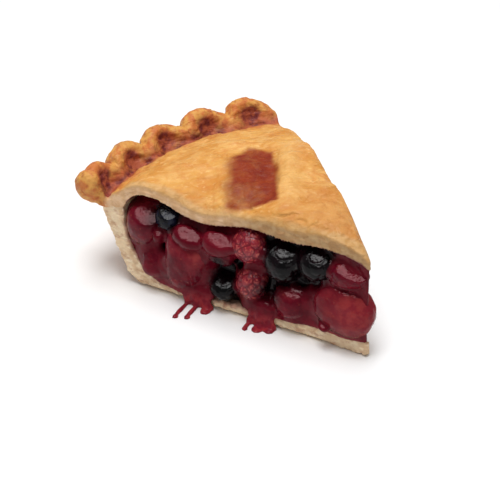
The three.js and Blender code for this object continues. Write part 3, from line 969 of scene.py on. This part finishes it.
def crumbs():
    """Crumbs along the bottom crust's upper edge at each cut."""
    shake = np.random.default_rng(17)
    shape, faces = ball(3)
    for cut in CUTS:
        for s in shake.uniform(6, 100, 70):
            size = shake.uniform(0.4, 1.2)
            out = shake.uniform(-1.2, 0.1)
            middle = at_cut(cut, s, out, height_at(FLOOR_TOP, s) + shake.uniform(-1.6, 0.2))
            lumpy = shape * (1 + 0.25 * noise(shape * 10 + s, 7, 3))[:, None]
            yield middle + lumpy * size * shake.uniform(0.7, 1.2, 3), faces


def base_lift(corners, normals, r, face):
    """How far each point moves outwards: lumps, a rough cut face and a nose at the tip."""
    underneath = smooth(-0.5, -0.9, normals[:, 2]) * smooth(2, 0.5, corners[:, 2])
    rough = 0.7 * lumps(corners, (3.4, 3.4, 1.6), 15) + 0.5 * lumps(corners, 1.4, 16)
    lift = 0.45 * lumps(corners, 4.0, 5) * (1 - underneath) + rough * face
    nose = np.exp(-(r / 5) ** 2) * (1 - underneath)
    return lift + NOSE * nose * smooth(0.2, 0.8, -normals[:, 1])


def shape_foot(corners, r):
    """Keeps the bottom crust above the floor, lifts its foot at the tip and tucks it in at the cuts."""
    corners[:, 2] = np.maximum(corners[:, 2], 0)
    corners[:, 2] += np.exp(-(r / 4) ** 2) * smooth(2.4, 0, corners[:, 2])
    for cut in CUTS:
        tucked = smooth(1.8, 0.4, corners[:, 2]) * smooth(4, 0.5, behind(corners, cut)) * smooth(4, 24, r)
        corners -= OUT[cut] * (TUCK * tucked)[:, None]


def base_masks(corners, normals, r, face, raised):
    z = corners[:, 2]
    wander = lumps(corners, 5, 25)
    over_floor = z - raised - height_at(FLOOR_TOP, r)
    wall_r, wall_z = np.array(WALL_INSIDE[::-1], float).T
    into_wall = r - np.interp(z, wall_z, wall_r)
    floor_stain = smooth(-2.2, 0.2, over_floor + 1.5 * wander) * (r < 92)
    wall_stain = smooth(1.6, 0.2, into_wall + 0.6 * wander) * smooth(3, 5, z) * (r > 88)
    stain = 0.65 * np.maximum(floor_stain, wall_stain) * smooth(31, 27, z) * smooth(8, 24, r)
    toasted = np.maximum(smooth(2.4, 0, z + wander), smooth(0.2, 0.8, normals[:, 1]) * (r > 95))
    return {"stain": stain, "toast": toasted * (1 - 0.9 * face)}


def make_base():
    base = new_piece("base_crust", *join([sweep(bottom_crust_section, 120), *crumbs()]))
    remesh(base, QUAD["base"], 3)
    corners = corners_of(base)
    normals = normals_of(base)
    r = polar(corners)[0]
    face = on_cut(corners, normals)
    corners = corners + normals * base_lift(corners, normals, r, face)[:, None]
    raised = tip_rise(r) * smooth(1, 4, corners[:, 2])
    corners[:, 2] += raised
    shape_foot(corners, r)
    set_corners(base, corners)
    set_masks(base, base_masks(corners, normals, r, face, raised))
    dress(base, base_material(), "bottom_crust", "bottom_crust")


# ---- the filling


def kind_of(name):
    return name.split("_")[0]


def fruit_frame(cut, row):
    """A fruit's middle, and the three radii as rows: along the cut, up, and out of it."""
    name, s, z, along, up, across, depth = row
    middle = at_cut(cut, s, -depth, z)
    swollen = SWOLLEN.get(name, SWOLLEN[kind_of(name)])
    return middle, np.array([ALONG[cut] * along, UP * up, OUT[cut] * across]) * np.array(swollen)[:, None]


def in_shade_pockets(s, z):
    """How far into a hollow painted dark as shade a place at the front cut is, 0 outside and 1 in its
    middle.
    """
    shares = [np.exp(-((s - p_s) ** 2 + (z - p_z) ** 2) / half ** 2) for p_s, p_z, half in SHADE_POCKETS]
    return np.max(shares, axis=0)


def redness(cut, s, z):
    """0 beside black fruit and in a cut's hollows, which are painted dark as shade, 1 beside red fruit."""
    near = {"red": 2e-3, "black": 1e-9}
    for row_cut, (name, fruit_s, fruit_z, along, up, _, _) in ALL_FRUIT:
        if row_cut == cut:
            group = "black" if kind_of(name) in BLACK_FRUIT else "red"
            near[group] += np.exp(-((s - fruit_s) / (along + 1)) ** 2 - ((z - fruit_z) / (up + 1)) ** 2)
    share = near["red"] / (near["red"] + near["black"])
    if cut == "front":
        # In the hollows the juice is painted black as shade.
        share = share * (1 - np.minimum(1.3 * in_shade_pockets(s, z), 1))
    return smooth(0.25, 0.75, share)


def filling_span(cut, s):
    """The lowest and highest place of the juice at a cut, at distance s from the tip."""
    wall_r, wall_z = np.array(WALL_INSIDE[::-1], float).T
    low = np.where(s > wall_r[0], np.interp(s, wall_r, wall_z), height_at(FLOOR_TOP, s)) - 0.3 + tip_rise(s)
    side = -HALF_ANGLE if cut == "front" else HALF_ANGLE
    return low, lid_under(s, side) + 0.5 - filling_gap(s)


def softened(heights, reach):
    """A cut's grid of heights, blurred over reach millimetres."""
    offsets = np.arange(-3 * reach, 3 * reach + CELL / 2, CELL)
    weights = np.exp(-0.5 * (offsets / reach) ** 2)
    weights /= weights.sum()
    before = len(weights) // 2
    after = len(weights) - 1 - before
    for axis in (0, 1):
        margins = [(before, after) if a == axis else (0, 0) for a in (0, 1)]
        padded = np.pad(heights, margins, mode="edge")
        heights = np.apply_along_axis(np.convolve, axis, padded, weights, "valid")
    return heights


def farthest_out(cut, bodies):
    """How far the bodies stand out of a cut at each cell, and NO_FRUIT where there is none."""
    out = np.full((len(CELL_S), len(CELL_Z)), NO_FRUIT)
    for corners in bodies:
        i = np.rint((corners @ ALONG[cut] - CELL_S[0]) / CELL).astype(int)
        k = np.rint((corners[:, 2] - CELL_Z[0]) / CELL).astype(int)
        np.maximum.at(out, (i, k), corners @ OUT[cut])
    return out


def juice_bed(s, z, low, red):
    """How far the juice alone stands out of a cut: sunk behind it, and swollen over the floor."""
    red_bed = between((JUICE_SUNK_TOP, JUICE_SUNK["red"]), smooth(30, 20, z))
    bed = -between((JUICE_SUNK["black"], red_bed), red)
    swell = (JUICE_SWELL_RED * red + JUICE_SWELL) * np.exp(-np.maximum(z - low, 0) / 3)
    return bed + swell * smooth(99, 92, s) * smooth(-4, 20, s)


def juice_heights(cut, fruit):
    """How far the juice stands out of a cut at each cell, hung over the fruit like a soft skin."""
    s, z = np.meshgrid(CELL_S, CELL_Z, indexing="ij")
    low, high = filling_span(cut, s)
    red = redness(cut, s, z)
    of_fruit = farthest_out(cut, fruit.values())
    of_bare = farthest_out(cut, [fruit[name] for name in BARE if name in fruit])
    bed = juice_bed(s, z, low, red)
    filled = np.maximum(of_fruit, bed)
    by_black, by_red = (softened(filled, JUICE_SOFTNESS[group]) for group in ("black", "red"))
    level = between((by_black, by_red), red) + 0.3 * red
    level -= JUICE_FILM * smooth(JUICE_FILM, -JUICE_FILM, level - of_fruit)
    if cut == "front":
        level -= POCKET_DEPTH * in_shade_pockets(s, z)
    places = np.stack([s, np.full_like(s, 40.0 if cut == "front" else 80.0), z], -1).reshape(-1, 3)
    level += JUICE_WAVES * lumps(places, 5, 7).reshape(s.shape)
    uncovered = np.minimum(level, of_bare - BARE_BY)
    level = between((level, uncovered), smooth(1.2, 4, of_bare - bed))
    level -= JUICE_ROLL * np.exp(-np.maximum(high - z, 0) / 1.6)
    return np.maximum(level, -0.2 * np.maximum(s, 0))


def value_at(grid, s, z):
    """A cut's grid read at any place, between its cells."""
    i = np.clip((s - CELL_S[0]) / CELL, 0, len(CELL_S) - 1.001)
    k = np.clip((z - CELL_Z[0]) / CELL, 0, len(CELL_Z) - 1.001)
    i0, k0 = i.astype(int), k.astype(int)
    di, dk = i - i0, k - k0
    low = grid[i0, k0] * (1 - di) + grid[i0 + 1, k0] * di
    high = grid[i0, k0 + 1] * (1 - di) + grid[i0 + 1, k0 + 1] * di
    return low * (1 - dk) + high * dk


def juice_relief(cut, heights, steps=210, rows=96):
    """The juice's face at a cut, as a slab behind it."""
    columns = np.linspace(1.6, SEAM_INNER[0] - 0.3, steps)
    s, share = np.meshgrid(columns, np.linspace(0, 1, rows), indexing="ij")
    low, high = filling_span(cut, s)
    z = low + (high - low) * share
    front_face = at_cut(cut, s, value_at(heights, s, z), z)
    back_face = at_cut(cut, s, -np.minimum(9, 0.36 * s), z)
    rings = np.concatenate([front_face, back_face[:, ::-1]], axis=1)
    return loft(list(rings if cut == "front" else rings[:, ::-1]))


def tongue(drip):
    """Juice that hangs over the bottom crust's edge, with its runs on the floor."""
    shape, faces = ball(4)
    lip = height_at(FLOOR_TOP, drip["s"])

    def blob(s, out, z, half, thick, high):
        radii = np.array([ALONG["front"] * half, OUT["front"] * thick, UP * high])
        return at_cut("front", s, out, z) + shape @ radii, faces

    half = drip["half"]
    yield blob(drip["s"], -0.4, lip + 2.2, half * 1.1, 2.4, 4)
    for share, reach, low in DRIP_LEGS:
        s = drip["s"] + share * half
        yield blob(s, 0.5 + 0.4 * reach, lip * 0.6 + low, half * 0.42, reach, lip * 0.95)
    for s, reach, width in drip["feet"]:
        yield blob(s, 1.2, 0.8, width * 1.6, 1.6, 2.2)
        yield blob(s, reach * 0.5, 0.15, width, reach * 0.5, 0.9)
        yield blob(s - 0.4, reach * 0.86, 0.15, width * 1.25, width * 1.3, 0.95)


def beads(heights):
    directions, faces = ball(4)
    for seed, (s, z, along, up, across) in enumerate(BEADS):
        radii = np.array([ALONG["front"] * along, UP * up, OUT["front"] * across])
        uneven = 1 + 0.2 * lumps(directions * 10, 8, seed)
        out = pressed_flat(directions, uneven, radii, BEAD_FLAT_AT, seed)
        level = value_at(heights, np.array([s]), np.array([z]))[0]
        yield at_cut("front", s, level, z) + directions * out[:, None] @ radii, faces


def gel_masks(corners):
    s = corners @ ALONG["front"]
    z = corners[:, 2]
    at_front = behind(corners, "front") < behind(corners, "back")
    red = np.where(at_front, redness("front", s, z), redness("back", corners @ ALONG["back"], z))
    past_drip = np.min([np.abs(s - drip["s"]) - drip["half"] for drip in DRIPS], axis=0)
    by_drip = smooth(3, 0, past_drip) * smooth(14, 9, z) * at_front
    at_tip = smooth(27, 18, s) * smooth(3.4, 1.4, z - height_at(FLOOR_TOP, s)) * at_front
    over_edge = smooth(0.2, -0.8, behind(corners, "front"))
    spread = smooth(8, 2.5, z + lumps(corners, 4, 19)) * over_edge
    return {"by_red": np.maximum(red, by_drip), "thin": np.maximum(spread, 0.8 * at_tip)}


def make_gel(heights):
    parts = [sweep(filling_section, 80, inset=5), *(juice_relief(cut, heights[cut]) for cut in CUTS)]
    parts += beads(heights["front"])
    for drip in DRIPS:
        parts += tongue(drip)
    gel = new_piece("set_juice", *join(parts))
    remesh(gel, QUAD["gel"], 3)
    corners = corners_of(gel)
    corners = corners + normals_of(gel) * (0.15 * lumps(corners, 3, 8))[:, None]
    corners[:, 2] = np.maximum(corners[:, 2], 0.02)
    set_corners(gel, corners)
    set_masks(gel, gel_masks(corners))
    dress(gel, gel_material(), "gel", "filling")


def pressed_flat(directions, out, radii, at, seed):
    """A fruit's reach in each direction with its upper outer side pressed flat."""
    shake = np.random.default_rng(seed)
    facing = (FLAT_SIDE + shake.normal(0, 0.02, 3)) * np.linalg.norm(radii, axis=1)
    toward = directions @ (facing / np.linalg.norm(facing))
    crest = at * np.max(out * toward)
    flat = crest * (1 + 0.01 * lumps(directions * 10, 4, seed)) / np.maximum(toward, 0.2)
    return -FLAT_BLEND * np.log(np.exp(-out / FLAT_BLEND) + np.exp(-flat / FLAT_BLEND))


def spread_directions(count, seed):
    """Directions spread evenly over a ball, a little shaken."""
    shake = np.random.default_rng(seed)
    k = np.arange(count) + 0.5
    fall = np.arccos(1 - 2 * k / count)
    turn = np.pi * (1 + math.sqrt(5)) * k
    directions = np.stack([np.cos(turn) * np.sin(fall), np.sin(turn) * np.sin(fall), np.cos(fall)], 1)
    directions += shake.normal(0, 0.06, directions.shape)
    return directions / np.linalg.norm(directions, axis=1)[:, None]


def drupelet_reach(directions, kind, seed):
    """A drupelet fruit's reach in each direction, and how deep in a crease each direction lies, which is
    painted dark as shade.
    """
    count = DRUPELETS[kind]
    shake = np.random.default_rng(seed)
    centres = spread_directions(count, seed) * shake.uniform(*DRUPELET_MIDDLES, (count, 1))
    sizes = shake.uniform(*DRUPELET_SIZES, count) * 2.4 / math.sqrt(count)
    toward = directions @ centres.T
    inside = toward ** 2 - (centres ** 2).sum(1) + sizes ** 2
    reach = np.where(inside > 0, toward + np.sqrt(np.maximum(inside, 0)), 0.55)
    ordered = np.sort(reach, axis=1)
    out = ordered[:, -1]
    crease_shade = smooth(0.1, 0.0, out - ordered[:, -2])
    out = 0.93 * DRUPELET_SOFTNESS + out * (1 - DRUPELET_SOFTNESS)
    return out * (1 + 0.07 * noise(directions * 10, 9, seed)), crease_shade


def lumpy_reach(directions, kind, seed):
    """A soft cooked fruit's reach in each direction: a slightly squared ball with slow waves."""
    squared = (np.abs(directions) ** SQUARENESS[kind]).sum(1) ** (-1 / SQUARENESS[kind])
    waves = 1 + 0.15 * noise(directions * 10, 9, seed)
    return squared * (waves + 0.06 * lumps(directions * 10, 4, seed + 1))


def fruit_shape(cut, row, seed):
    """A fruit's corners and faces, and how deep in a crease each corner lies, which is painted dark as
    shade.
    """
    name = row[0]
    kind = kind_of(name)
    middle, radii = fruit_frame(cut, row)
    directions, faces = ball(FRUIT_DETAIL[cut])
    if kind in DRUPELETS:
        out, crease_shade = drupelet_reach(directions, kind, seed)
    else:
        out, crease_shade = lumpy_reach(directions, kind, seed), np.zeros(len(directions))
    if name in WRINKLED:
        out = out * (1 + WRINKLED[name] * lumps(directions * 10, 3.2, seed))
    flat_at = FLAT_AT.get(name, FLAT_AT.get(kind))
    if flat_at:
        out = pressed_flat(directions, out, radii, flat_at, seed)
    if np.linalg.det(radii) < 0:
        faces = [tuple(reversed(face)) for face in faces]
    return middle + directions * out[:, None] @ radii, faces, crease_shade


def make_fruit(cut, name, shape, heights, materials):
    corners, faces, crease_shade = shape
    s = corners @ ALONG[cut]
    z = corners[:, 2]
    above_juice = corners @ OUT[cut] - value_at(heights[cut], s, z)
    proud = np.maximum(above_juice, 0)
    corners = corners - OUT[cut] * (SETTLED * proud / (proud + SETTLED))[:, None]
    piece = new_piece(name + "_fruit", corners, faces)
    # Creases are painted darker as shade.
    masks = {"crease_shade": crease_shade}
    # The glow of light through the fruit, painted into its colour.
    if name in GLOW_SPOTS:
        glow_s, glow_z, reach = GLOW_SPOTS[name]
        masks["warm"] = 0.9 * np.exp(-((s - glow_s) ** 2 + (z - glow_z) ** 2) / reach ** 2)
    masks["sunk"] = smooth(0.5, -0.1, above_juice + 0.4 * lumps(corners, 3, 37))
    if cut == "front":
        # In the hollows the fruit is painted near black as shade.
        masks["dark"] = 1.2 * in_shade_pockets(s, z)
    set_masks(piece, masks)
    dress(piece, materials[kind_of(name)], kind_of(name), name)


def make_filling():
    shapes = [fruit_shape(cut, row, 100 + index) for index, (cut, row) in enumerate(ALL_FRUIT)]
    heights = {}
    for cut in CUTS:
        fruit = {row[0]: shape[0] for (row_cut, row), shape in zip(ALL_FRUIT, shapes) if row_cut == cut}
        heights[cut] = juice_heights(cut, fruit)
    make_gel(heights)
    materials = {
        "strawberry": strawberry_material(),
        "raspberry": raspberry_material(),
        "bramble": bramble_material(),
        "blueberry": blueberry_material(),
    }
    for (cut, row), shape in zip(ALL_FRUIT, shapes):
        make_fruit(cut, row[0], shape, heights, materials)


# ---- floor, light and camera
FLOOR_HALF = 3.0
FLOOR_COLOUR = (242, 242, 242)
WORLD_STRENGTH = 0.36
# Soft boxes: name, azimuth, elevation, distance and size in metres, and radiance.
SOFTBOXES = [
    ("key", -65, 79, 1.1, (0.52, 0.46), 10.8),
    ("top", 150, 77, 1.1, (0.5, 0.5), 6.0),
]
LIGHT_TARGET = Vector((0, 0, 0.025))
CAMERA_AZIMUTH = -39.2
CAMERA_ELEVATION = 33.7
CAMERA_DISTANCE = 0.8
CAMERA_TARGET = Vector(TIP + np.array([-13.0, 56.6, 26.0]) * MM)
CAMERA_LENS = 146.7


def aim(looker, azimuth, elevation, distance, target):
    """Puts a lamp or camera round its target. Azimuth 0 is on the -Y side and 90 on the +X side."""
    a, e = math.radians(azimuth), math.radians(elevation)
    direction = Vector((math.sin(a) * math.cos(e), -math.cos(a) * math.cos(e), math.sin(e)))
    looker.location = direction * distance + target
    looker.rotation_euler = (-direction).to_track_quat("-Z", "Y").to_euler()


def make_stage():
    mesh = bpy.data.meshes.new("floor")
    z = cad_box[0][2]
    around = ((-1, -1), (1, -1), (1, 1), (-1, 1))
    mesh.from_pydata([(x * FLOOR_HALF, y * FLOOR_HALF, z) for x, y in around], [], [(0, 1, 2, 3)])
    floor = add_object("floor", mesh)
    n = Nodes("pale_floor")
    floor.data.materials.append(n.finish(srgb(*FLOOR_COLOUR), 0.6))
    floor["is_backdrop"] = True


def make_light():
    world = bpy.data.worlds.new("studio")
    bpy.context.scene.world = world
    world.use_nodes = True
    background = world.node_tree.nodes["Background"]
    background.inputs["Color"].default_value = (1, 1, 1, 1)
    background.inputs["Strength"].default_value = WORLD_STRENGTH
    for name, azimuth, elevation, distance, size, radiance in SOFTBOXES:
        data = bpy.data.lights.new(name, "AREA")
        data.shape = "RECTANGLE"
        data.size, data.size_y = size
        data.energy = radiance * math.pi * size[0] * size[1]
        aim(add_object(name, data), azimuth, elevation, distance, LIGHT_TARGET)


def make_camera():
    data = bpy.data.cameras.new("camera")
    data.lens = CAMERA_LENS
    data.clip_end = 20
    camera = add_object("camera", data)
    aim(camera, CAMERA_AZIMUTH, CAMERA_ELEVATION, CAMERA_DISTANCE, CAMERA_TARGET)
    bpy.context.scene.camera = camera


make_camera()
make_lid()
make_base()
make_filling()
make_stage()
make_light()
bpy.context.scene.view_settings.view_transform = "Standard"

boxes = {"cad": cad_box, "visual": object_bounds()}
{key: [list(map(float, corner)) for corner in box] for key, box in boxes.items()}
